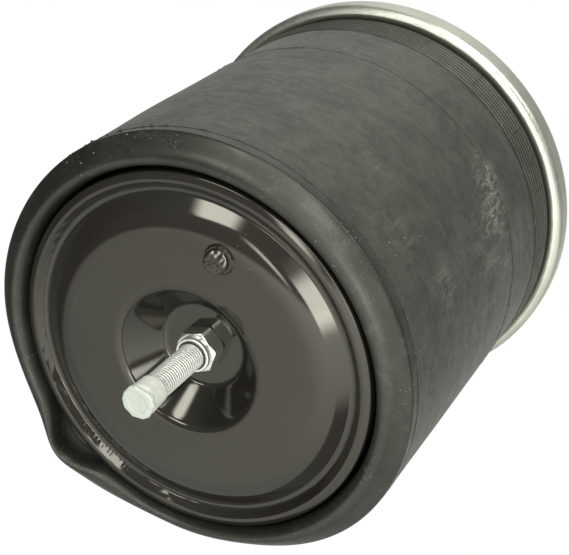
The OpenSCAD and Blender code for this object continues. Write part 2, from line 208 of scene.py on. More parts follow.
def build(name, grids, finish, body=None, replaces=(), sharp=38, dust=None):
    # grids: closed solids as arrays of points, True where rows close on themselves, False if they end on the axis
    points, faces, first = [], [], 0
    for grid, closeRows in grids:
        flat = grid.reshape(-1, 3)
        cells = quads(*grid.shape[:2], closeRows)
        a, b, c, d = (flat[cells[:, k]] for k in range(4))
        volume = (np.cross(a, b) * c).sum() + (np.cross(a, c) * d).sum()
        faces.append((cells if volume > 0 else cells[:, ::-1]) + first)
        points.append(flat)
        first += len(flat)
    mesh = bpy.data.meshes.new(name)
    mesh.from_pydata(np.concatenate(points), [], np.concatenate(faces).tolist())
    merged = bmesh.new()
    merged.from_mesh(mesh)
    bmesh.ops.remove_doubles(merged, verts=merged.verts, dist=1e-7)
    bmesh.ops.dissolve_degenerate(merged, edges=merged.edges, dist=1e-8)
    merged.to_mesh(mesh)
    merged.free()
    mesh.shade_smooth()
    mesh.set_sharp_from_angle(angle=np.radians(sharp))
    piece = added(name, mesh)
    mesh.materials.append(finish)
    if dust:
        # rubber keeps its pattern when it stretches: the finish reads where each point lies at rest
        co = np.zeros(len(mesh.vertices) * 3, np.float32)
        mesh.vertices.foreach_get("co", co)
        x, y, z = co.reshape(-1, 3).T
        amount = dust(np.arctan2(y, x), z).astype(np.float32)
        mesh.attributes.new("restPlace", "FLOAT_VECTOR", "POINT").data.foreach_set("vector", co)
        mesh.attributes.new("dust", "FLOAT", "POINT").data.foreach_set("value", amount)
    if replaces:
        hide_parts(*replaces)
    if body:
        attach(piece, body)
    print("built", name, sum(len(p.vertices) - 2 for p in mesh.polygons), "triangles")
    return piece


def mathsNode(operation, swapped=False):
    # a method of Tone that adds one Math node
    def method(tone, other=0.0):
        first, second = (other, tone) if swapped else (tone, other)
        return tone.nodes.node("Math", {"operation": operation}, {0: first, 1: second})
    return method


class Tone:
    # a socket of a node tree; arithmetic on it adds Math nodes
    def __init__(self, nodes, socket):
        self.nodes, self.socket = nodes, socket

    __add__, __radd__ = mathsNode("ADD"), mathsNode("ADD", True)
    __sub__, __rsub__ = mathsNode("SUBTRACT"), mathsNode("SUBTRACT", True)
    __mul__, __rmul__ = mathsNode("MULTIPLY"), mathsNode("MULTIPLY", True)
    __truediv__, __pow__ = mathsNode("DIVIDE"), mathsNode("POWER")
    __abs__, most, atan2, cos = mathsNode("ABSOLUTE"), mathsNode("MAXIMUM"), mathsNode("ARCTAN2"), mathsNode("COSINE")


class Nodes:
    # a node tree, emptied and ready to be filled
    def __init__(self, tree):
        self.tree = tree
        tree.nodes.clear()

    def put(self, socket, value):
        if isinstance(value, Tone):
            self.tree.links.new(value.socket, socket)
        elif hasattr(value, "__len__") and len(value) == 3 and len(socket.default_value) == 4:
            socket.default_value = (*value, 1)
        else:
            socket.default_value = value

    def node(self, kind, settings=None, sockets=None, out=0):
        # any node: settings first, then its sockets are set or linked
        made = self.tree.nodes.new("ShaderNode" + kind)
        for name, value in (settings or {}).items():
            setattr(made, name, value)
        for name, value in (sockets or {}).items():
            self.put(made.inputs[name], value)
        return Tone(self, made.outputs[out])

    def dot(self, place, way):
        return self.node("VectorMath", {"operation": "DOT_PRODUCT"}, {0: place, 1: tuple(way)}, "Value")

    def mixed(self, share, first, second):
        return share * (second - first) + first

    def between(self, value, low, high, start=0.0, stop=1.0):
        # smooth step of value from low to high, mapped to start and stop
        sockets = {"Value": value, "From Min": low, "From Max": high, "To Min": start, "To Max": stop}
        return self.node("MapRange", {"interpolation_type": "SMOOTHSTEP"}, sockets)


class Finish(Nodes):
    # a Principled material; fixed values are set on its sockets, varying ones are linked
    def __init__(self, name, fixed):
        self.material = bpy.data.materials.new(name)
        self.material.use_nodes = True
        super().__init__(self.material.node_tree)
        self.output = self.tree.nodes.new("ShaderNodeOutputMaterial")
        self.shader = self.tree.nodes.new("ShaderNodeBsdfPrincipled")
        self.tree.links.new(self.shader.outputs[0], self.output.inputs["Surface"])
        self.feed(fixed)

    def feed(self, values):
        for name, value in values.items():
            self.put(self.shader.inputs[name], value)

    def finished(self, colour, rough, normal, others=None):
        self.feed({"Base Color": colour, "Roughness": rough, "Normal": normal, **(others or {})})
        return self.material

    def place(self):
        return self.node("TexCoord", out="Object")

    def attribute(self, name, out):
        return self.node("Attribute", {"attribute_name": name}, out=out)

    def stretched(self, place, scale):
        return self.node("VectorMath", {"operation": "MULTIPLY"}, {0: place, 1: scale})

    def noise(self, place, scale, detail=3.0, rough=0.5, warp=0.0):
        sockets = {"Vector": place, "Scale": scale, "Detail": detail, "Roughness": rough, "Distortion": warp}
        return self.node("TexNoise", {}, sockets)

    def specks(self, place, scale, size, share):
        # round specks: cells with a spot in the middle, kept only where a cloud is dense
        spot = self.node("TexVoronoi", {}, {"Vector": place, "Scale": scale}, "Distance")
        dense = self.between(self.noise(place, scale * 0.13, 2), 1 - share, 1.08 - share)
        return self.between(spot, size, size * 0.45) * dense

    def mix(self, share, first, second):
        return self.node("Mix", {"data_type": "RGBA"}, {0: share, 6: first, 7: second}, 2)

    def bump(self, height, distance, strength=1.0, normal=None):
        sockets = {"Height": height, "Distance": distance, "Strength": strength}
        if normal is not None:
            sockets["Normal"] = normal
        return self.node("Bump", {}, sockets)

    def polar(self, place=None):
        # a place with its angle round the axis, distance from it and height
        place = place or self.place()
        parts = self.node("SeparateXYZ", {}, {0: place})
        x, y, z = (Tone(self, parts.socket.node.outputs[k]) for k in range(3))
        return place, y.atan2(x), (x * x + y * y) ** 0.5, z


# The ribbed band below the crimp and the mould's seams across it, in millimetres below the plate's face
ribs = {"count": 7, "first": 31.7, "last": 55.5, "width": 0.5, "height": 0.65, "bandFrom": (27.5, 29.5),
        "seams": 20, "seamAt": 0.2, "seamEnd": 50.0, "seamHeight": 0.35, "seamWidth": 0.45,
        "seamLine": (0.9972, 0.9994)}
# Mould lines, in millimetres: how far above the fold the lower one lies, and the runs where nibs of flash crowd,
# from one angle to another in degrees, with their number
mould = {"aboveFold": 7.0, "height": 0.4, "width": 0.4, "nibHeight": 0.8, "nibWidth": 0.5,
         "lower": [(-75, -14, 26), (28, 62, 8), (95, 280, 16)], "upper": [(-35, 85, 10), (85, 320, 12)],
         "neck": [(-35, 85, 9), (85, 320, 9)], "seeds": {"lower": 3, "upper": 4, "neck": 5},
         "waves": (12, 20, 160), "lineWidth": (0.6, 1.1), "lineShadeShares": (1.0, 0.8, 0.9)}
lineHeights = [neckEndZ, mouldZ, foldZ + mould["aboveFold"] * mm]
# The rubber; the lobe's colour is darkened as painted shade and it is smoother than the sleeve, from 2 mm above its
# mould line to 6 mm below it
# the line colour is painted shade in rib valleys and along flash lines, and darkens the seams; the rib colour is a
# painted highlight on rib crests
rubberLook = {"dark": (0.019, 0.0195, 0.016), "light": (0.041, 0.042, 0.0355), "line": (0.003, 0.003, 0.003),
              "rib": (0.085, 0.086, 0.075), "dust": (0.19, 0.19, 0.17), "speck": (0.42, 0.42, 0.39),
              "roughness": 0.45, "lobeShade": 0.38, "lobeRoughness": -0.09, "lobeFrom": (2, -6),
              "crestHighlightShare": 0.65, "valleyShadeShare": 0.55, "seamShare": 0.7, "filmShare": 0.22}
# Its patterns: how far each is stretched, then scale, detail, roughness and warp of its noise
rubberNoise = {"streak": ((0.22, 0.22, 1.7), 130, 5, 0.65, 0.6), "cloud": ((1, 1, 1), 24, 5, 0.62, 0.9),
               "smudge": ((1, 1, 1), 160, 5, 0.70, 0.4), "grain": ((1, 1, 1), 1100, 2, 0.5),
               "broken": ((1, 1, 1), 75, 3, 0.6), "rubbed": ((1.4, 1.4, 0.5), 130, 6, 0.72, 0.8),
               "film": ((1, 1, 1), 38, 6, 0.7, 1.0), "swell": ((0.5, 0.5, 1.3), 130, 4, 0.6)}
# Its specks of dust: scale of the cells, size in a cell, share of the surface and strength
rubberSpecks = {"all": [(150, 0.10, 0.40, 0.5), (430, 0.17, 0.44, 0.38), (800, 0.22, 0.5, 0.22)],
                "patches": (500, 0.2, 0.62, 0.8)}


def rubberFinish():
    look = rubberLook
    made = Finish("bellowsRubber", {"Specular IOR Level": 0.5, "IOR": 1.5, "Specular Tint": (1, 1, 0.88)})
    place, angle, radius, z = made.polar(made.attribute("restPlace", "Vector"))
    noise = {name: made.noise(made.stretched(place, way), *rest) for name, (way, *rest) in rubberNoise.items()}
    # rubber off the mould: soft streaks round the turn, smudges of two sizes and grain
    streak, cloud, smudge, grain = (noise[name] for name in ("streak", "cloud", "smudge", "grain"))
    tone = made.between(streak * 0.1 + cloud * 0.45 + smudge * 0.3 + grain * 0.15, 0.40, 0.61)
    colour = made.mix(tone, look["dark"], look["light"])
    # painted shade: the lobe's colour is darkened to a share of the sleeve's
    lobeShare = made.between(z, *(lineHeights[2] + edge * mm for edge in look["lobeFrom"]))
    colour = made.mix(lobeShare, colour, made.stretched(colour, (look["lobeShade"],) * 3))
    # ribs: painted highlight on the crests and painted shade in the valleys, from the crimp to the end of the band
    pitch = (ribs["last"] - ribs["first"]) / (ribs["count"] - 1) * mm
    wave = ((z + ribs["first"] * mm) * (tau / pitch)).cos()
    top, full = (-height * mm for height in ribs["bandFrom"])
    band = made.between(z, neckEndZ - 0.5 * mm, neckEndZ + 0.5 * mm) * made.between(z, top, full)
    colour = made.mix(band * made.between(wave, 0.75, 0.0) * look["valleyShadeShare"], colour, look["line"])
    colour = made.mix(band * made.between(wave, 0.72, 0.97) * look["crestHighlightShare"], colour, look["rib"])
    # painted shade along the thin flash lines, broken where they were trimmed; the seams across the rib band are
    # darkened too
    broken = made.between(noise["broken"], 0.36, 0.56)
    width = made.between(grain, 0.3, 0.7, *(wide * mm for wide in mould["lineWidth"]))
    line = 0.0
    for at, strong in zip(lineHeights, mould["lineShadeShares"]):
        near = 1 - made.between(abs(z - at) / width, 0.4, 1.15)
        line = near * made.between(broken, 0, 1, strong * 0.45, strong) + line
    seam = made.between(((angle - np.radians(ribs["seamAt"])) * ribs["seams"]).cos(), *ribs["seamLine"]) * band
    seamEnd = -ribs["seamEnd"] * mm
    seam = seam * made.between(z, seamEnd - mm, seamEnd)
    colour = made.mix(line.most(seam * look["seamShare"]), colour, look["line"])
    # dust: rubbed patches, a thin film and fine specks
    patches = made.attribute("dust", "Fac")
    film = made.between(noise["film"], 0.55, 0.85, 0, look["filmShare"])
    dusty = (patches * made.between(noise["rubbed"], 0.44, 0.66)).most(film)
    colour = made.mix(dusty, colour, look["dust"])
    *kind, strong = rubberSpecks["patches"]
    specks = patches * made.specks(place, *kind) * strong
    for *kind, strong in rubberSpecks["all"]:
        specks = specks + made.specks(place, *kind) * strong
    colour = made.mix(specks, colour, look["speck"])
    rough = look["roughness"] + made.between(streak * 0.5 + smudge * 0.5, 0.35, 0.65, 0.06, -0.05)
    rough = rough + dusty * 0.3 + line * 0.15 + lobeShare * look["lobeRoughness"]
    fine = made.bump(grain, 0.00005, 0.5)
    return made.finished(colour, rough, made.bump(noise["swell"], 0.0003, 0.15, fine))


# Glossy brown-black enamel, and fine creases from the hemming in the channel's outer wall: their radii and heights
# in metres, their number, and the angle that they gather round in degrees
paintLook = {"colour": (0.0115, 0.0100, 0.0078), "thin": (0.0165, 0.0148, 0.0118), "dust": (0.22, 0.21, 0.19),
             "roughness": 0.075, "specks": (260, 0.09, 0.40), "speckShare": 0.75, "creaseFrom": (0.1002, 0.1017),
             "creaseTo": (0.1054, 0.1042), "creaseBelow": (-0.26, -0.27), "creaseCount": 210, "creaseUneven": 9,
             "creaseHeight": 0.00007, "creaseAt": -152, "creaseSpread": 24}


def paintFinish():
    look = paintLook
    made = Finish("blackEnamel", {"Specular IOR Level": 0.5, "IOR": 1.52, "Specular Tint": (1, 0.99, 0.88)})
    place, angle, radius, z = made.polar()
    film = made.noise(place, 16, 2, 0.4)
    colour = made.mix(made.between(film, 0.3, 0.75, 0, 0.45), look["colour"], look["thin"])
    dust = made.specks(place, *look["specks"]) * look["speckShare"]
    colour = made.mix(dust, colour, look["dust"])
    settled = made.noise(place, 90, 5, 0.65)
    rough = look["roughness"] + made.between(settled, 0.5, 0.8, 0, 0.07) + dust * 0.3
    wall = made.between(radius, *look["creaseFrom"]) * made.between(radius, *look["creaseTo"])
    near = abs(angle - np.radians(look["creaseAt"])) / np.radians(look["creaseSpread"])
    wall = wall * made.between(z, *look["creaseBelow"]) * made.between(near, 1.0, 0.4, 0.05, 1.0)
    uneven = made.noise(place, 120, 2, 0.5) * look["creaseUneven"]
    comb = (angle * look["creaseCount"] + uneven).cos() * made.between(made.noise(place, 28, 1, 0.4), 0.42, 0.6)
    peel = made.bump(made.noise(place, 330, 2, 0.5), 0.00002, 0.22)
    swell = made.bump(made.noise(place, 30, 1, 0.4), 0.0004, 0.05, peel)
    return made.finished(colour, rough, made.bump(comb * wall, look["creaseHeight"], 0.5, swell))


# Metals: two colours, roughness, scale of the spots, depth of the grain
metalLook = {"zincPlate": ((0.45, 0.46, 0.40), (0.52, 0.53, 0.465), 0.35, 140, 0.000012),
             "zincFastener": ((0.70, 0.71, 0.66), (0.82, 0.83, 0.78), 0.22, 300, 0.00001),
             "bronzedWire": ((0.36, 0.26, 0.15), (0.52, 0.40, 0.25), 0.34, 400, 0.00004),
             "oiledSteel": ((0.30, 0.30, 0.29), (0.44, 0.43, 0.41), 0.38, 220, 0.00004)}
# Painted shade and reflection: the crimp's underside is darkened inside these radii and below these heights, standing
# in for the dark rubber it mirrors
crimpShade = {"inside": (0.1392, 0.1370), "uneven": 0.002, "below": (-0.020, -0.024), "colour": (0.12, 0.125, 0.10)}


def metalFinish(name, paintedShade=None):
    dark, light, roughness, spots, depth = metalLook[name]
    made = Finish(name, {"IOR": 2.0})
    place = made.place()
    cloud = made.noise(place, spots * 0.4, 4, 0.6, 0.4)
    fine = made.noise(place, spots * 4, 3, 0.6)
    colour = made.mix(made.between(cloud * 0.65 + fine * 0.35, 0.36, 0.64), dark, light)
    rough = roughness + made.between(fine, 0.3, 0.7, -0.05, 0.06) + made.between(cloud, 0.4, 0.7, 0, 0.05)
    if paintedShade:
        # painted shade on the crimp's underside, where it reflects the dark rubber
        place, angle, radius, z = made.polar(place)
        edge = radius + (cloud - 0.5) * paintedShade["uneven"]
        share = made.between(edge, *paintedShade["inside"]) * made.between(z, *paintedShade["below"])
        colour = made.mix(share, colour, paintedShade["colour"])
    metallic = made.between(cloud, 0.2, 0.8, 0.90, 0.95)
    return made.finished(colour, rough, made.bump(fine, depth, 0.5), {"Metallic": metallic})


# The stud's thread: grooves inside the first radius are rougher and darkened as painted shade, crests beyond the
# second are bright
threadLook = {"groove": (0.17, 0.18, 0.16), "crests": ((0.48, 0.50, 0.455), (0.59, 0.61, 0.56)),
              "radii": (0.0068, 0.0078), "roughness": (0.60, 0.42)}


def threadFinish():
    look = threadLook
    made = Finish("zincThread", {"IOR": 1.8, "Metallic": 0.5})
    place, angle, radius, z = made.polar()
    fine = made.noise(place, 900, 3, 0.6)
    crest = made.between(radius + (fine - 0.5) * 0.0003, *look["radii"])
    # painted shade in the grooves; the crests keep the bright metal
    colour = made.mix(crest, look["groove"], made.mix(fine, *look["crests"]))
    return made.finished(colour, made.between(crest, 0, 1, *look["roughness"]), made.bump(fine, 0.00001, 0.4))


# The nut: ground flats that mirror the dark piston, and a satin collar below these heights
nutLook = {"flats": ((0.55, 0.56, 0.51), (0.65, 0.66, 0.61)), "collar": (0.80, 0.81, 0.76),
           "collarBelow": (-0.2778, -0.2784), "roughness": (0.18, 0.36)}


def nutFinish():
    look = nutLook
    made = Finish("zincNut", {"IOR": 2.0, "Metallic": 0.92})
    place, angle, radius, z = made.polar()
    cloud = made.noise(place, 160, 4, 0.6, 0.4)
    collar = made.between(z, *look["collarBelow"])
    rough = made.mixed(collar, *look["roughness"]) + made.between(cloud, 0.4, 0.7, 0, 0.06)
    colour = made.mix(collar, made.mix(cloud, *look["flats"]), look["collar"])
    return made.finished(colour, rough, made.bump(cloud, 0.00001, 0.5))


# Milky plastic, darker on its end face; above these heights the thread shows through its thin mouth
capLook = {"colours": ((0.57, 0.60, 0.545), (0.64, 0.67, 0.61)), "end": (0.46, 0.495, 0.445),
           "endBelow": (-0.3370, -0.3378), "thinAbove": (-0.3245, -0.3212), "thinAlpha": 0.06,
           "roughness": (0.34, 0.46)}


def capFinish():
    look = capLook
    made = Finish("milkyPlastic", {"Subsurface Weight": 0.5, "Subsurface Radius": (0.004, 0.004, 0.0035),
                                   "Subsurface Scale": 0.6, "IOR": 1.45, "Transmission Weight": 0.12})
    place, angle, radius, z = made.polar()
    cloud = made.noise(place, 120, 4, 0.6)
    colour = made.mix(made.between(cloud, 0.35, 0.7), *look["colours"])
    colour = made.mix(made.between(z, *look["endBelow"]), colour, look["end"])
    thin = made.between(z + (cloud - 0.5) * 0.003, *look["thinAbove"])
    grain = made.bump(made.noise(place, 500, 3, 0.5), 0.00005, 0.4)
    alpha = made.mixed(thin, 1.0, look["thinAlpha"])
    return made.finished(colour, made.between(cloud, 0.3, 0.7, *look["roughness"]), grain, {"Alpha": alpha})


# Dull materials: two colours, roughness and scale of the grain
plainLook = {"darkNylon": ((0.035, 0.035, 0.036), (0.055, 0.055, 0.056), 0.45, 300),
             "sealRubber": ((0.018, 0.018, 0.019), (0.030, 0.030, 0.031), 0.50, 300),
             "stopRubber": ((0.024, 0.024, 0.024), (0.040, 0.040, 0.039), 0.62, 180)}


def plainFinish(name):
    dark, light, roughness, scale = plainLook[name]
    made = Finish(name, {"IOR": 1.5})
    place = made.place()
    cloud = made.noise(place, scale * 0.2, 4, 0.6)
    grain = made.noise(place, scale * 3, 2, 0.5)
    colour = made.mix(made.between(cloud, 0.35, 0.68), dark, light)
    rough = roughness + made.between(cloud, 0.3, 0.7, -0.06, 0.08)
    return made.finished(colour, rough, made.bump(grain, 0.00006, 0.4))


rubber = rubberFinish()
paint = paintFinish()
zincBright = metalFinish("zincFastener")
zincNut = nutFinish()
zincThread = threadFinish()
milky = capFinish()
slotFinish = {"zinc_plate": metalFinish("zincPlate", crimpShade), "zinc_fastener": zincBright,
              "bead_wire": metalFinish("bronzedWire"), "bellows_rubber": rubber, "black_enamel": paint,
              "plain_steel": metalFinish("oiledSteel"), "nylon": plainFinish("darkNylon"), "cap_plastic": milky,
              "seal_rubber": plainFinish("sealRubber"), "stop_rubber": plainFinish("stopRubber")}
for part in frame["record"]["subparts"]:
    slots = nodes[part["node"]].data.materials
    slots.clear()
    slots.append(slotFinish[part["material_slot"]])
print("finishes made:", len(slotFinish))

# How the empty lobe hangs: pressed flat where it lies underneath, drawn out to a soft corner beside it.
# Sags and crease are (angle, spread, depth), in degrees round the axis from the locating pin and in millimetres; the
# sags fade out above the fold. The lean brings the fold's lowest line nearer the piston
lobe = {"columns": 420, "foldRows": 40, "wall": 4.5, "lean": 0.6, "waveHeight": 0.25, "waves": (11, 8, 2, 7),
        "outerSags": [(152, 19, -7.6), (176, 9, -4.6), (-155, 8.5, 6.4), (-129, 12, -2.6), (-72, 24, -2.2)],
        "innerSags": [(-152.3, 6.8, 15.5), (157, 24, -1.2)], "sleeveFade": 95, "innerFade": 30,
        "crease": (-153, 6, 0.8), "creaseRound": (1.9, 0.35)}
# Dusty patches of the sleeve: angle, height, their spreads and strength
dustPatches = [(41, -111, 5, 9, 0.75), (46, -122, 3.5, 10, 0.6), (50, -134, 2.5, 14, 0.7), (52, -214, 3.5, 8, 0.5),
               (62, -135, 6, 26, 0.35), (33, -238, 8, 10, 0.2), (17, -212, 4, 5, 0.3), (-95, -150, 9, 18, 0.4),
               (150, -90, 7, 20, 0.45), (-170, -190, 12, 10, 0.4), (105, -230, 10, 12, 0.35)]
wallT = lobe["wall"] * mm
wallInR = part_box("bellows_inner_wall")[1].x - wallT


def dustAt(a, z):
    # sum of bell-shaped patches on the sleeve
    return sum(bellAt(a, at, wide) * bell(z - h * mm, tall * mm) * strong for at, h, wide, tall, strong in dustPatches)


def sag(a, bumps):
    # sum of bell curves round the axis
    return sum(bellAt(a, at, width) * depth for at, width, depth in bumps) * mm


def outerWall(a, z):
    # radius of the sleeve: its true radius, plus the sag that fades out above the fold
    return wallOutR + sag(a, lobe["outerSags"]) * (1 - ease(z, foldZ, foldZ + lobe["sleeveFade"] * mm))


def innerWall(a, z):
    # the same for the wall inside the fold
    return wallInR + sag(a, lobe["innerSags"]) * (1 - ease(z, foldZ, foldZ + lobe["innerFade"] * mm))


def nibs(which):
    # angles in degrees and sizes of the nibs of flash on a mould line
    dice = np.random.default_rng(mould["seeds"][which])
    at = np.concatenate([dice.uniform(low, high, count) for low, high, count in mould[which]])
    return at, dice.uniform(0.25, 1.0, len(at))


def mouldLine(a, z, at, which):
    # a low uneven ridge of flash, plus a pointed nib at each listed place
    places, sizes = nibs(which)
    nib = (bell(wrapped(a[:, None] - np.radians(places)) * wallOutR, mould["nibWidth"] * mm) * sizes).sum(1)
    ridge = np.clip(0.6 + 0.3 * ripple(a, 0, mould["seeds"][which], *mould["waves"]), 0.1, 1.3) * mould["height"] * mm
    nib = nib * mould["nibHeight"] * mm
    return ridge * bell(z - at, mould["width"] * mm) + nib * bell(z - at, mould["nibWidth"] * mm)


def bellowsSleeve():
    # radius by angle and height, outside and again one wall further in; rows crowd at mould lines
    lineZ = lineHeights[2]
    near = np.linspace(-1.8, 1.8, 15) * mm
    outside = np.concatenate([np.linspace(mouldZ, foldZ, 56), lineZ + near, mouldZ + near[near < 0]])
    outside = np.unique(outside)[::-1, None]
    inside = np.linspace(foldZ, mouldZ, 16)[:, None]
    a = columnAngles(lobe["columns"], np.concatenate([nibs("lower")[0], nibs("upper")[0]]))
    r = outerWall(a, outside) + mouldLine(a, outside, lineZ, "lower") + mouldLine(a, outside, mouldZ, "upper")
    waves = ripple(a, outside * 8, *lobe["waves"]) * ease(-outside, -mouldZ, -mouldZ + 20 * mm)
    r = r + lobe["waveHeight"] * mm * waves
    return np.vstack([turned(r, outside, a), turned(outerWall(a, inside) - wallT, inside, a)])


def bellowsFold():
    # half a ring: its section is an oval between the walls that leans towards the piston; each wall sags
    t = np.pi * (1 - np.cos(np.pi * np.linspace(0, 1, lobe["foldRows"]))) / 2
    a = evenAngles(lobe["columns"])
    outR, inR = outerWall(a, foldZ), innerWall(a, foldZ)
    middle, half = (outR + inR) / 2, (outR - inR) / 2
    depth = foldZ - foldLow.z
    at, spread = lobe["creaseRound"]
    grids = []
    for inset, angles in ((0, t), (wallT, t[::-1])):
        c, s = np.cos(angles)[:, None], np.sin(angles)[:, None]
        push = sag(a, [lobe["crease"]]) * bell(angles[:, None] - at, spread) if inset == 0 else 0
        drop = s * (1 - lobe["lean"] * c)
        grids.append(turned(middle + (half - inset) * c, foldZ - (depth - inset + push) * drop / drop.max(), a))
    return np.vstack(grids)


sleevePiece = build("bellowsSleeve", [(bellowsSleeve(), True)], rubber,
                    replaces=["bellows_sleeve"], dust=dustAt)
build("bellowsFold", [(bellowsFold(), True)], rubber, "fold", ["bellows_fold"], dust=dustAt)
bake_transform(sleevePiece)

# The neck under the crimp and the smooth band below it; the bead's outline is in millimetres
neck = {"columns": 360,
        "bead": [(130.2, -28.7), (123, -17.3), (123, -9), (125.8, -3.3), (132, -3.3), (137.6, -5.7), (140, -11.3),
                 (140, -19), (138.8, -21.4), (134.4, -23), (134.4, -28.5)]}


def bellowsShoulder():
    # outside: ribs as bell curves along the height, crossed by seams; inside: the bead's outline
    fine = np.linspace(ribs["first"] - 2, ribs["last"] + 4.5, 96)
    rest = np.linspace(ribs["last"] + 5, -mouldZ / mm - 2, 16)
    line = -mouldZ / mm - np.linspace(1.6, 0, 7)
    z = -np.unique(np.concatenate([fine, rest, line]))[:, None] * mm
    seams = ribs["seamAt"] + np.arange(ribs["seams"]) * 360 / ribs["seams"]
    a = columnAngles(neck["columns"], np.concatenate([seams, nibs("upper")[0], nibs("neck")[0]]))
    ribAt = -np.linspace(ribs["first"], ribs["last"], ribs["count"]) * mm
    rib = bell(z - ribAt, ribs["width"] * mm).sum(1)[:, None] * ribs["height"] * mm
    seam = bell(wrapped(a[:, None] - np.radians(seams)) * wallOutR, ribs["seamWidth"] * mm).sum(1)
    seam = seam * ribs["seamHeight"] * mm * (1 - ease(-z, ribs["seamEnd"] * mm, (ribs["seamEnd"] + 2) * mm))
    r = wallOutR + np.maximum(rib, seam)
    r = r + mouldLine(a, z, mouldZ, "upper") + mouldLine(a, z, neckEndZ, "neck")
    bead = denser(np.array([((wallOutR - wallT) / mm, mouldZ / mm), *neck["bead"]]), 6) * mm
    return np.vstack([turned(r, z, a), turned(*columnsOf(bead), a)])


shoulderPiece = build("bellowsShoulder", [(bellowsShoulder(), True)], rubber,
                      replaces=["bellows_neck", "bellows_shoulder"], dust=dustAt)
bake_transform(shoulderPiece)

# The wall inside the fold, in millimetres: up the skirt and over its shoulder to the bead
inner = {"columns": 300, "straightTop": -180.0,
         "section": [(119.5, -151.1, 28.5), (92.1, -151.1), (92.1, -146.4), (89.1, -143.9), (81.7, -134.8),
                     (80.9, -134.3), (76.3, -134.3), (73.1, -139.5), (75.4, -154.8), (80.1, -159.7),
                     (90.6, -159.7), (92.1, -158.2), (92.1, -155.6), (115, -155.6, 24.0)]}


def bellowsInnerWall():
    # the section turned round the axis; both faces take the sag of the lobe near the fold
    low = foldZ / mm
    path = roundedPath([(wallInR / mm + lobe["wall"], low), *inner["section"], (wallInR / mm, low)], 12)
    r, z = columnsOf(denser(path, 3.5) * mm)
    a = evenAngles(inner["columns"])
    return turned(r + innerWall(a, z) - wallInR, z, a)


innerPiece = build("bellowsInnerWall", [(bellowsInnerWall(), True)], rubber,
                   replaces=["bellows_inner_wall"], dust=dustAt)
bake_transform(innerPiece)

# Base of the piston, in millimetres from the contact face, up into the piston. Dents, swell and waves of the edge
# have a depth and the radii or heights where they set in
base = {"thickness": 2.0, "recess": 22.0, "boreGap": 0.3, "floorR": 26.5, "floorBend": 5, "mouthR": 44.5,
        "mouthBend": 7.0, "contactR": 86.0, "contactBend": 26.0, "channelR": 99.5, "channelRise": 8.6,
        "channelBend": 4.5, "rimSlope": 4.2, "cove": 3.0, "rimWidth": 6.0, "rimRise": 4.0, "rimBend": 0.8,
        "crownR": 108.6, "crownBend": 4, "rimFall": 1.7, "edgeBend": 1.6, "hem": 16.0, "columns": 408, "fineFrom": 94,
        "dent": 0.06, "dentFrom": (100.0, 102.5), "dentTo": (-108.2, -106.2), "dentRise": (3.8, 5.2),
        "swell": 0.03, "swellFrom": (88, 98), "edge": 0.05, "edgeFrom": (106, 109),
        "dentWaves": (21, 18, 18, 75), "swellWaves": (22, 8, 3, 14), "edgeWaves": (23, 10, 5, 26)}


def pistonBase():
    # one pressed sheet turned round the axis; hemming has puckered the outer wall of its channel
    b = base
    low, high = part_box("piston_base")
    rim = high.x / mm
    rimIn = rim - b["rimWidth"]
    path = roundedPath([(studHigh.x / mm + b["boreGap"], b["recess"]), (b["floorR"], b["recess"], b["floorBend"]),
                        (b["mouthR"], 0, b["mouthBend"]), (b["contactR"], 0, b["contactBend"]),
                        (b["channelR"], b["channelRise"], b["channelBend"]),
                        (rimIn - b["rimSlope"], b["channelRise"], b["cove"]), (rimIn, b["rimRise"], b["rimBend"]),
                        (b["crownR"], b["rimRise"], b["crownBend"]),
                        (rim, b["rimRise"] + b["rimFall"], b["edgeBend"]), (rim, b["hem"])], 10)
    coarse = path[:, 0] < b["fineFrom"]
    front = np.vstack([denser(path[coarse], 3.0), denser(path[~coarse], 0.9)])
    back = offsetPath(denser(path, 4.0), b["thickness"])[::-1]
    r, z = columnsOf(np.vstack([front, back]))
    a = evenAngles(b["columns"])
    wall = ease(r, *b["dentFrom"]) * ease(-r, *b["dentTo"]) * ease(z, *b["dentRise"])
    facets = ripple(a, 0.02 * r, *b["dentWaves"])
    pucker = wall * np.sign(facets) * np.abs(facets) ** 0.8 * b["dent"]
    swell = ease(r, *b["swellFrom"]) * ripple(a, 0.02 * r, *b["swellWaves"]) * b["swell"]
    edge = ease(r, *b["edgeFrom"]) * ripple(a, 0.01 * r, *b["edgeWaves"]) * b["edge"]
    return turned(r + 1.3 * pucker, z + 0.5 * pucker + swell + edge + low.z / mm, a) * mm


build("pistonBase", [(pistonBase(), True)], paint, "piston", ["piston_base"])

# Outline of the locating pin, in millimetres from its tip; the facet slopes towards an angle in degrees
pin = {"columns": 96, "uneven": 0.22, "unevenTo": 4.6, "waves": (31, 14, 2, 14),
       "facetAt": 19, "facetFrom": 2.6, "facetSlope": 0.78,
       "outline": [(0, 0), (5.9, 0, 0.7), (7, 1.0, 0.6), (7, 4.9, 0.4), (8.2, 4.9, 0.5), (9.25, 6.5, 0.2), (9.25, 8.5),
                   (10.35, 8.5, 0.2), (10.35, 10, 0.5), (7, 11.5), (0, 11.5)]}


def locatingPin():
    # turned stub with a collar; its struck end is uneven, with a slanted facet on one side
    r, z = columnsOf(denser(roundedPath(pin["outline"], 5), 0.7))
    a = evenAngles(pin["columns"])
    struck = bell(z, 0.9) * ripple(a, r * 0.15, *pin["waves"])
    facet = (r * np.cos(a - np.radians(pin["facetAt"])) - pin["facetFrom"]) * pin["facetSlope"] * (1 + 0.10 * struck)
    tip = np.maximum(z + pin["uneven"] * struck * ease(r, 0, 2), facet)
    grid = turned(r * (1 + 0.012 * struck), np.where(z < pin["unevenTo"], tip, z), a) * mm
    low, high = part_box("locating_pin")
    return grid + np.array([(low.x + high.x) / 2, 0, low.z])


build("locatingPin", [(locatingPin(), False)], paint, "piston", ["locating_pin"])


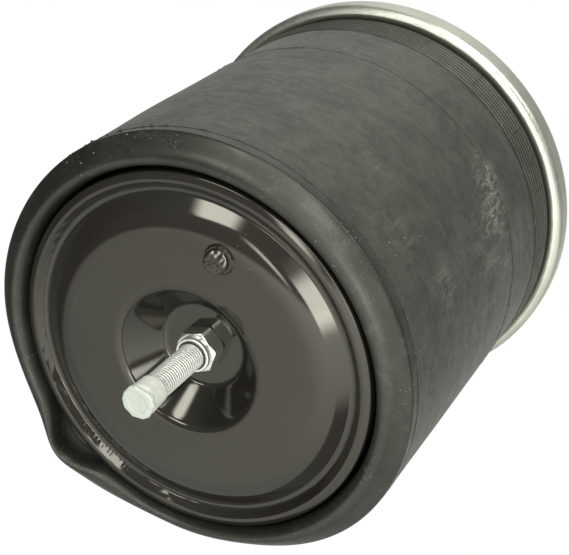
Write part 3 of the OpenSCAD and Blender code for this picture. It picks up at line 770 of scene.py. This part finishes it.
def thread(crest, pitch, low, high, rows, columns, inside=False):
    # radius by angle and height: a groove with a flat crest and a round root that climbs one pitch a turn
    a = evenAngles(columns)
    z = np.linspace(low, high, max(2, int((high - low) / pitch * rows)))[:, None] + 0 * a
    turn = (z / pitch - a / tau) % 1
    groove = np.clip(1.18 * (1 - np.abs(2 * turn - 1) * 1.28), 0, 1)
    groove = groove * groove * (3 - 2 * groove) * 0.35 + groove * 0.65
    depth = 0.61 * pitch * groove * ease(z, low, low + pitch * 0.8) * ease(-z, -high, -high + pitch * 0.8)
    return turned(crest + depth if inside else crest - depth, z, a)


# The stud has its pitch diameter where a nut or the cap grips it, and its full size in the runs, in millimetres
stud = {"pitch": 2.0, "columns": 56, "chamfer": 1.5, "threadStart": 0.9, "rows": 10, "gripR": 7.35,
        "threadTop": -236.0, "upperThread": -132.0, "fullRuns": [(-321.7, -281.0), (-264.0, -126.5), (-113.5, -110.5)]}


def centreStud():
    # threaded at both ends, plain between them; a cone cuts the crests back at each end
    s = stud
    low, high, r = studLow.z / mm, studHigh.z / mm, studHigh.x / mm
    c, chamferR = s["columns"], r - s["chamfer"]
    grid = np.vstack([ringOf(0, low, c), ringOf(chamferR, low, c),
                      thread(r, s["pitch"], low + s["threadStart"], s["threadTop"], s["rows"], c),
                      thread(r, s["pitch"], s["upperThread"], high - s["threadStart"], s["rows"], c),
                      ringOf(chamferR, high, c), ringOf(0, high, c)])
    z = grid[..., 2]
    full = sum(ease(z, start - 0.2, start) * ease(-z, -stop - 0.2, -stop) for start, stop in s["fullRuns"])
    crest = s["gripR"] + (r - s["gripR"]) * full
    return cutBack(grid, np.minimum(crest, chamferR + np.minimum(z - low, high - z))) * mm


build("centreStud", [(centreStud(), False)], zincThread, "piston", ["centre_stud"])

# Lock nut, in millimetres: a hexagon, with a collar turned in over the nylon ring
nut = {"flats": 24.0, "shoulder": -277.0, "bore": 7.45, "pocket": 9.42, "coneInset": 0.05, "coneSlope": 1.9,
       "columns": 144, "collar": [(9.42, -280.2), (9.0, -280.6), (9.2, -280.92), (9.6, -281.0), (10.2, -280.9),
                                  (10.62, -280.5), (10.8, -279.8)]}
# Wear of a hexagon's corners: depth in millimetres and spread in degrees
hexWear = (0.21, 3.0)


def hexagon(flats, z, rise, inset, slope, columns):
    # distance to a hexagon's side, cut back by a cone that widens by slope for each unit of rise
    a = evenAngles(columns)
    turn = wrapped(6 * a) / 6
    depth, spread = hexWear
    tip = flats / 2 / np.cos(np.pi / 6) - depth * bellAt(turn, 0, spread)
    side = tip * np.cos(np.pi / 6) / np.cos(np.pi / 6 - np.abs(turn))
    return turned(np.minimum(side, flats / 2 - inset + rise * slope), z, a)


def lockNut():
    # hexagon with a cone at each face; the pocket under the lip holds the nylon ring
    n = nut
    c, shoulder, high = n["columns"], n["shoulder"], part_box("lock_nut")[1].z / mm
    collar = [(n["bore"], shoulder), (n["pocket"], shoulder), *n["collar"], (n["collar"][-1][0], shoulder)]
    edge = np.linspace(0, 2.4, 16)
    z = np.concatenate([shoulder + edge, np.linspace(shoulder + 3, high - 3, 5), high - edge[::-1]])[:, None]
    flats = hexagon(n["flats"], z, np.minimum(z - shoulder, high - z), n["coneInset"], n["coneSlope"], c)
    return np.vstack([around(collar, c), flats, ringOf(n["bore"], high, c)]) * mm


build("lockNut", [(lockNut(), True)], zincNut, "piston", ["lock_nut"], sharp=28)

# Cap over the stud's end, in millimetres: radius and height above its end face. Corners of its hand-trimmed flange
# are angles in degrees and shares of its radius
cap = {"columns": 144, "bore": 7.55, "end": 3.0, "thinFrom": 17.0, "thinBore": 8.05, "height": 28.1,
       "dished": 0.10, "dishedTo": (-3, -1), "waves": (42, 7, 1, 6), "trimFrom": (6.5, 9.8), "trimTo": (-5.0, -2.6),
       "outline": [(0, 0.35), (5.6, 0.35, 0.6), (6.2, 0.0, 0.4), (9.5, 0.1, 0.4), (10.45, 0.9, 0.4), (10.5, 2.0, 0.4),
                   (9.5, 4.4, 2.0), (9.1, 9.5, 8), (8.85, 17.2, 0.15), (8.3, 17.6, 0.1), (8.2, 28.1)],
       "trimmed": [(-176, 0.99), (-139, 1.0), (-109, 0.98), (-81, 0.945), (-49, 0.98), (-27, 0.965), (22, 0.935),
                   (44, 1.0), (74, 0.955), (120, 0.95), (146, 0.965)]}


def trimmedEdge(a):
    # share of the full radius at each angle: straight cuts between the listed corners
    at, share = np.array(cap["trimmed"]).T
    at, share = np.radians(np.append(at, at[0] + 360)), np.append(share, share[0])
    a = (a - at[0]) % tau + at[0]
    k = np.clip(np.searchsorted(at, a, side="right") - 1, 0, len(at) - 2)
    first, second, start, stop = share[k], share[k + 1], at[k], at[k + 1]
    return first * second * np.sin(stop - start) / (first * np.sin(a - start) + second * np.sin(stop - a))


def studCap():
    # sleeve that swells into a flanged end, and thins to a film at its mouth
    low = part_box("stud_cap")[0].z / mm
    thinR, thinFrom, bore, end = cap["thinBore"], cap["thinFrom"], cap["bore"], cap["end"]
    inside = [(thinR, cap["height"]), (thinR, thinFrom + 0.6), (bore, thinFrom), (bore, end), (0, end)]
    r, z = columnsOf(denser(roundedPath([*cap["outline"], *inside], 6), 0.8))
    a = evenAngles(cap["columns"])
    edge = ease(r, *cap["trimFrom"]) * ease(-z, *cap["trimTo"])
    dished = cap["dished"] * np.abs(ripple(a, r * 0.1, *cap["waves"])) * ease(-z, *cap["dishedTo"])
    return turned(r * (1 + edge * (trimmedEdge(a) - 1)), z + dished + low, a) * mm


build("studCap", [(studCap(), False)], milky, "cap", ["stud_cap"])

# The two studs on the bead plate, in millimetres
plateStuds = {"r": 6.0, "pressedR": 6.5, "pitch": 1.75, "headR": 12.0, "head": 4.0, "headEdge": 0.8, "plate": 3.0,
              "threadFrom": 1.5, "threadEnd": 0.8, "chamfer": 1.4, "columns": 48, "rows": 10}


def plateStud(y):
    # round head under the plate, threaded shank above it, its end cut back by a cone
    p = plateStuds
    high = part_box("plate_studs")[1].z / mm
    c, headR, edge, under, endR = p["columns"], p["headR"], p["headEdge"], -p["plate"], p["r"] - p["chamfer"]
    low = under - p["head"]
    head = roundedPath([(0, low), (headR - edge, low, 0.6), (headR, low + edge, 0.5), (headR, under, 0.3),
                        (p["pressedR"], under), (p["pressedR"], -0.05), (p["r"], 0.05)], 4)
    shank = thread(p["r"], p["pitch"], p["threadFrom"], high - p["threadEnd"], p["rows"], c)
    grid = np.vstack([around(head, c), shank, ringOf(endR, high, c), ringOf(0, high, c)])
    z = grid[..., 2]
    grid = cutBack(grid, np.where(z < 0.1, headR, endR + np.maximum(high - z, 0)))
    return (grid + np.array([0, y, 0])) * mm


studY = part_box("plate_studs")[1].y / mm - plateStuds["headR"]
build("plateStuds", [(plateStud(y), False) for y in (studY, -studY)], zincBright, "top_plate",
      ["plate_studs"])

# The air inlet, in millimetres
inlet = {"r": 11.0, "pitch": 1.5, "chamfer": 1.2, "hex": 32.0, "coneInset": 0.1, "coneSlope": 1.7, "plate": 3.0,
         "bore": 5.2, "boreChamfer": 0.7, "borePitch": 1.5, "boreDepth": 16.0, "passage": 3.5, "columns": 72,
         "rows": 9}


def airInlet():
    # hexagon under the plate, threaded boss above it, and a threaded bore down to the passage
    n = inlet
    low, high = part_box("air_inlet")
    start, top, c, under = low.z / mm, high.z / mm, n["columns"], -n["plate"]
    floor = top - n["boreDepth"]
    z = np.append(start + np.linspace(0, 1.8, 8), under)[:, None]
    rows = [ringOf(n["passage"], start, c), hexagon(n["hex"], z, z - start, n["coneInset"], n["coneSlope"], c),
            ringOf(n["r"], under, c), thread(n["r"], n["pitch"], 1.0, top - 1.4, n["rows"], c),
            ringOf(n["r"] - n["chamfer"], top, c), ringOf(n["bore"] + n["boreChamfer"], top, c),
            thread(n["bore"], n["borePitch"], floor + 0.8, top - 0.6, n["rows"], c, True)[::-1],
            ringOf(n["bore"], floor, c), ringOf(n["passage"], floor - 1, c)]
    return (np.vstack(rows) + np.array([(low.x + high.x) / 2 / mm, 0, 0])) * mm


build("airInlet", [(airInlet(), True)], zincBright, "top_plate", ["air_inlet"])

# Camera: where the photograph was taken from. Lens in millimetres
view = {"place": (0.45972, 0.20053, -0.84249), "right": (0.29158, 0.84617, 0.44607),
        "forward": (-0.54541, -0.23602, 0.80425), "lens": 82.81, "clip": (0.01, 50)}
# Studio: a white sheet below that is brighter towards the camera, with a gap and a faint glow at its right, a dim
# room above it, and pale walls beside and behind the part. Directions are right, up and back from the camera; four
# numbers are a range of a direction and the levels at its ends; the sheet's level is a sum of powers
studio = {"dim": (-0.05, 0.85, 0.08, 0.45), "tint": (1.0, 1.0, 0.95),
          "sheet": (1.04, 1.4, 1.0), "sheetEdge": (-0.34, -0.47), "sheetSide": (-0.88, -0.67, 0.75, 1.0),
          "sheetRight": (0.1, 0.6, 0.0, 0.12), "gap": (0.06, 0.42), "gapHalf": (0.035, 0.085), "gapLevel": 0.22,
          "walls": (0.42, 0.95, 0.38, 1.35), "wallsBack": (0.25, -0.15), "wallsSide": (-0.30, 0.05),
          "behind": (-0.60, -0.85), "behindSide": (-0.6, -0.1), "behindLevel": 0.85}
# Soft boxes: direction of the middle, way along, halves along and across, level, and evenly lit share
softBoxes = {"left": ((-0.57, 0.25, 0.78), (0.6, 0.0, 0.44), (0.20, 0.11), 12, 0.45),
             "streak": ((-0.38, -0.16, 0.91), (0.15, -0.42, 0.0), (0.27, 0.075), 9, 0.2),
             "low": ((0.03, -0.33, 0.94), (0.2, -0.38, 0.0), (0.27, 0.12), 12, 0.35),
             "front": ((0.04, 0.28, 0.96), (0.15, 0.98, 0.0), (0.44, 0.15), 9, 0.5),
             "right": ((0.47, 0.66, 0.58), (-0.6, 0.5, 0.0), (0.60, 0.15), 9, 0.4),
             "side": ((0.50, -0.19, 0.84), (0.0, 1.0, 0.3), (0.15, 0.10), 8, 0.3),
             "top": ((-0.31, 0.66, 0.69), (1.0, 0.3, 0.0), (0.16, 0.15), 12, 0.4)}
# The floor, in metres, lies low enough for the spring drawn out with its cap pulled off
stage = {"floorGap": 0.25, "floorSize": 6.0, "floorColour": (0.80, 0.80, 0.79), "floorRoughness": 0.9}


def makeCamera():
    # returns the camera's axes: right, up and back
    right = Vector(view["right"]).normalized()
    forward = Vector(view["forward"]).normalized()
    up = right.cross(forward).normalized()
    axes = Matrix((right, up, -forward))
    data = bpy.data.cameras.new("camera")
    data.lens = view["lens"]
    data.clip_start, data.clip_end = view["clip"]
    camera = added("camera", data)
    camera.matrix_world = Matrix.Translation(Vector(view["place"])) @ axes.transposed().to_4x4()
    scene.camera = camera
    return axes


def makeFloor():
    # a level sheet that only the camera sees, from above, so that the part is lit from below too
    z = cadBounds[0].z - stage["floorGap"]
    s = stage["floorSize"]
    mesh = bpy.data.meshes.new("floor")
    mesh.from_pydata([(-s, -s, z), (s, -s, z), (s, s, z), (-s, s, z)], [], [(0, 1, 2, 3)])
    floor = added("floor", mesh)
    made = Finish("paleFloor", {"Base Color": stage["floorColour"], "Roughness": stage["floorRoughness"]})
    clear = made.node("BsdfTransparent")
    behind = made.node("NewGeometry", out="Backfacing")
    shade = Tone(made, made.shader.outputs[0])
    mixed = made.node("MixShader", {}, {0: behind, 1: shade, 2: clear})
    made.put(made.output.inputs["Surface"], mixed)
    mesh.materials.append(made.material)
    floor.visible_diffuse = floor.visible_glossy = floor.visible_transmission = floor.visible_shadow = False


def makeWorld(axes):
    # the level of light from each direction; the camera itself sees white
    world = bpy.data.worlds.new("studio")
    scene.world = world
    world.use_nodes = True
    made = Nodes(world.node_tree)
    way = made.node("TexCoord", out="Generated")
    right, up, back = (made.dot(way, axis) for axis in axes)
    s = studio
    floor = s["sheet"][0] + back * s["sheet"][1] + back * back * s["sheet"][2]
    floor = floor * made.between(right, *s["sheetSide"]) + made.between(right, *s["sheetRight"])
    gap = made.between(abs(right - back * s["gap"][1] - s["gap"][0]), *s["gapHalf"])
    walls = made.between(up, *s["walls"])
    beside = made.between(back, *s["wallsBack"]) * made.between(right, *s["wallsSide"])
    behind = made.between(back, *s["behind"]) * made.between(right, *s["behindSide"])
    level = made.mixed(beside, made.between(back, *s["dim"]), walls)
    level = made.mixed(behind, level, s["behindLevel"])
    level = made.mixed(made.between(up, *s["sheetEdge"]), level, made.mixed(gap, s["gapLevel"], floor))
    toWorld = axes.transposed()
    for at, run, halves, glow, core in softBoxes.values():
        centre = (toWorld @ Vector(at)).normalized()
        along = toWorld @ Vector(run)
        along = (along - centre * along.dot(centre)).normalized()
        share = made.between(made.dot(way, centre), 0.0, 0.1)
        for side, half in zip((along, centre.cross(along)), halves):
            share = share * made.between(abs(made.dot(way, side)) / half, 1.0, core)
        level = level + share * glow
    rays = made.node("LightPath", out="Is Camera Ray")
    lit = made.node("Background", {}, {"Color": s["tint"], "Strength": level})
    seen = made.node("Background", {}, {"Color": (1, 1, 1), "Strength": 1.0})
    shade = made.node("MixShader", {}, {0: rays, 1: lit, 2: seen})
    made.put(made.tree.nodes.new("ShaderNodeOutputWorld").inputs["Surface"], shade)


makeFloor()
makeWorld(makeCamera())
scene.view_settings.view_transform = "Standard"
print("stage set")

bpy.context.view_layer.update()
